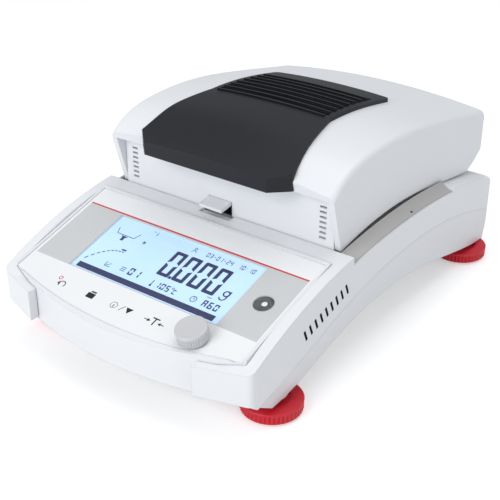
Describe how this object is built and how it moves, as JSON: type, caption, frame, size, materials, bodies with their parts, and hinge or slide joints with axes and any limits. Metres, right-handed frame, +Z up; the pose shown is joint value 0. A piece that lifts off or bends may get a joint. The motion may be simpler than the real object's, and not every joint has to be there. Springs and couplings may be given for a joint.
{
  "type": "moisture analyzer",
  "caption": "Benchtop moisture analyzer: hinged halogen dryer lid over a weigh chamber with a lift-out pan, sloped display panel with keys and a push knob, on levelling feet",
  "frame": {"origin": "on the bench under the middle of the instrument", "axes": "+Z up, front with the display towards -Y, +X to the user's right"},
  "size_m": [0.2222, 0.3286, 0.1492],
  "materials": {
    "white_shell": "fine texture",
    "white_tray": "fine texture",
    "black_cover": "satin",
    "overlay_film": "satin film",
    "window": "clear",
    "lcd": "smooth",
    "backlight": "smooth",
    "level_fluid": "clear",
    "grey_strip": "fine texture",
    "board": "solder mask",
    "key_cap": "smooth",
    "knob_metal": "satin",
    "steel": "brushed",
    "aluminium": "milled",
    "brass": "turned",
    "reflector_metal": "polished",
    "chamber_glass": "clear",
    "lamp_glass": "clear",
    "ceramic_cap": "unglazed",
    "black_socket": "smooth",
    "red_wheel": "satin",
    "rubber_pad": "matt"
  },
  "bodies": {
    "base": {"base_tray": "white_tray", "upper_housing": "white_shell", "control_housing": "white_shell", "control_overlay": "overlay_film", "display_window": "window", "lcd_module": "lcd", "backlight_panel": "backlight", "level_vial": "level_fluid", "level_holder": "black_socket", "keypad_board": "board", "encoder_body": "steel", "side_trims": "grey_strip", "chassis_plate": "aluminium", "cell_bracket": "aluminium", "weigh_cell": "aluminium", "chamber_deck": "steel", "deck_screws": "steel", "draft_shield": "steel", "hinge_brackets": "steel", "hinge_pins": "steel", "main_board": "board", "power_supply": "aluminium", "power_inlet": "black_socket", "serial_port": "black_socket", "usb_port": "black_socket", "foot_inserts": "brass"},
    "lid": {"lid_shell": "white_shell", "lid_front_panel": "white_shell", "lid_tab": "white_shell", "heater_cover": "black_cover", "lid_liner": "steel", "glass_shield": "chamber_glass", "glass_retainer": "steel", "reflector": "reflector_metal", "halogen_lamp": "lamp_glass", "lamp_sockets": "ceramic_cap", "temperature_sensor": "steel", "hinge_leaves": "steel"},
    "stage": {"pan_support": "steel"},
    "pan": {"sample_pan": "aluminium"},
    "handler": {"pan_handler": "steel"},
    "push": {"encoder_plunger": "steel"},
    "turn": {"encoder_shaft": "steel", "knob": "knob_metal"},
    "power_key": {"power_key": "key_cap"},
    "print_key": {"print_key": "key_cap"},
    "display_key": {"display_key": "key_cap"},
    "tare_key": {"tare_key": "key_cap"},
    "front_left_pad": {"front_left_pad": "rubber_pad"},
    "front_left_wheel": {"front_left_wheel": "red_wheel"},
    "front_right_pad": {"front_right_pad": "rubber_pad"},
    "front_right_wheel": {"front_right_wheel": "red_wheel"},
    "rear_left_pad": {"rear_left_pad": "rubber_pad"},
    "rear_left_wheel": {"rear_left_wheel": "red_wheel"},
    "rear_right_pad": {"rear_right_pad": "rubber_pad"},
    "rear_right_wheel": {"rear_right_wheel": "red_wheel"}
  },
  "joints": [
    {"name": "lid_hinge", "type": "hinge", "parent": "base", "child": "lid", "pos_m": [0, 0.146, 0.084], "axis": [-1, 0, 0], "range_deg": [0, 70]},
    {"name": "weigh_stage", "type": "slide", "parent": "base", "child": "stage", "axis": [0, 0, 1], "range_m": [-0.0003, 0], "stiffness_N_per_m": 6000},
    {"name": "handler_lift", "type": "slide", "parent": "base", "child": "handler", "axis": [0, 0, 1], "range_m": [0, 0.005]},
    {"name": "pan_lift", "type": "slide", "parent": "stage", "child": "pan", "axis": [0, 0, 1], "range_m": [0, 0.005]},
    {"name": "knob_press", "type": "slide", "parent": "base", "child": "push", "axis": [0, 0.2817, -0.9595], "range_m": [0, 0.001], "stiffness_N_per_m": 1500},
    {"name": "knob_turn", "type": "hinge", "parent": "push", "child": "turn", "pos_m": [0.0575, -0.14353, 0.0558], "axis": [0, -0.2817, 0.9595], "continuous": true},
    {"name": "power_key_press", "type": "slide", "parent": "base", "child": "power_key", "axis": [0, 0.2817, -0.9595], "range_m": [0, 0.00025], "stiffness_N_per_m": 2000},
    {"name": "print_key_press", "type": "slide", "parent": "base", "child": "print_key", "axis": [0, 0.2817, -0.9595], "range_m": [0, 0.00025], "stiffness_N_per_m": 2000},
    {"name": "display_key_press", "type": "slide", "parent": "base", "child": "display_key", "axis": [0, 0.2817, -0.9595], "range_m": [0, 0.00025], "stiffness_N_per_m": 2000},
    {"name": "tare_key_press", "type": "slide", "parent": "base", "child": "tare_key", "axis": [0, 0.2817, -0.9595], "range_m": [0, 0.00025], "stiffness_N_per_m": 2000},
    {"name": "front_left_extend", "type": "slide", "parent": "base", "child": "front_left_pad", "axis": [0, 0, 1], "range_m": [-0.00376, 0]},
    {"name": "front_left_screw", "type": "hinge", "parent": "front_left_pad", "child": "front_left_wheel", "pos_m": [-0.0905, -0.11, 0.005], "axis": [0, 0, 1], "range_deg": [0, 1080]},
    {"name": "front_right_extend", "type": "slide", "parent": "base", "child": "front_right_pad", "axis": [0, 0, 1], "range_m": [-0.00376, 0]},
    {"name": "front_right_screw", "type": "hinge", "parent": "front_right_pad", "child": "front_right_wheel", "pos_m": [0.0905, -0.11, 0.005], "axis": [0, 0, 1], "range_deg": [0, 1080]},
    {"name": "rear_left_extend", "type": "slide", "parent": "base", "child": "rear_left_pad", "axis": [0, 0, 1], "range_m": [-0.00376, 0]},
    {"name": "rear_left_screw", "type": "hinge", "parent": "rear_left_pad", "child": "rear_left_wheel", "pos_m": [-0.0905, 0.145, 0.005], "axis": [0, 0, 1], "range_deg": [0, 1080]},
    {"name": "rear_right_extend", "type": "slide", "parent": "base", "child": "rear_right_pad", "axis": [0, 0, 1], "range_m": [-0.00376, 0]},
    {"name": "rear_right_screw", "type": "hinge", "parent": "rear_right_pad", "child": "rear_right_wheel", "pos_m": [0.0905, 0.145, 0.005], "axis": [0, 0, 1], "range_deg": [0, 1080]}
  ],
  "couplings": [
    {"joint": "pan_lift", "follows": "handler_lift", "ratio": 1},
    {"joint": "front_left_extend", "follows": "front_left_screw", "m_per_rad": -0.00019894},
    {"joint": "front_right_extend", "follows": "front_right_screw", "m_per_rad": -0.00019894},
    {"joint": "rear_left_extend", "follows": "rear_left_screw", "m_per_rad": -0.00019894},
    {"joint": "rear_right_extend", "follows": "rear_right_screw", "m_per_rad": -0.00019894}
  ]
}
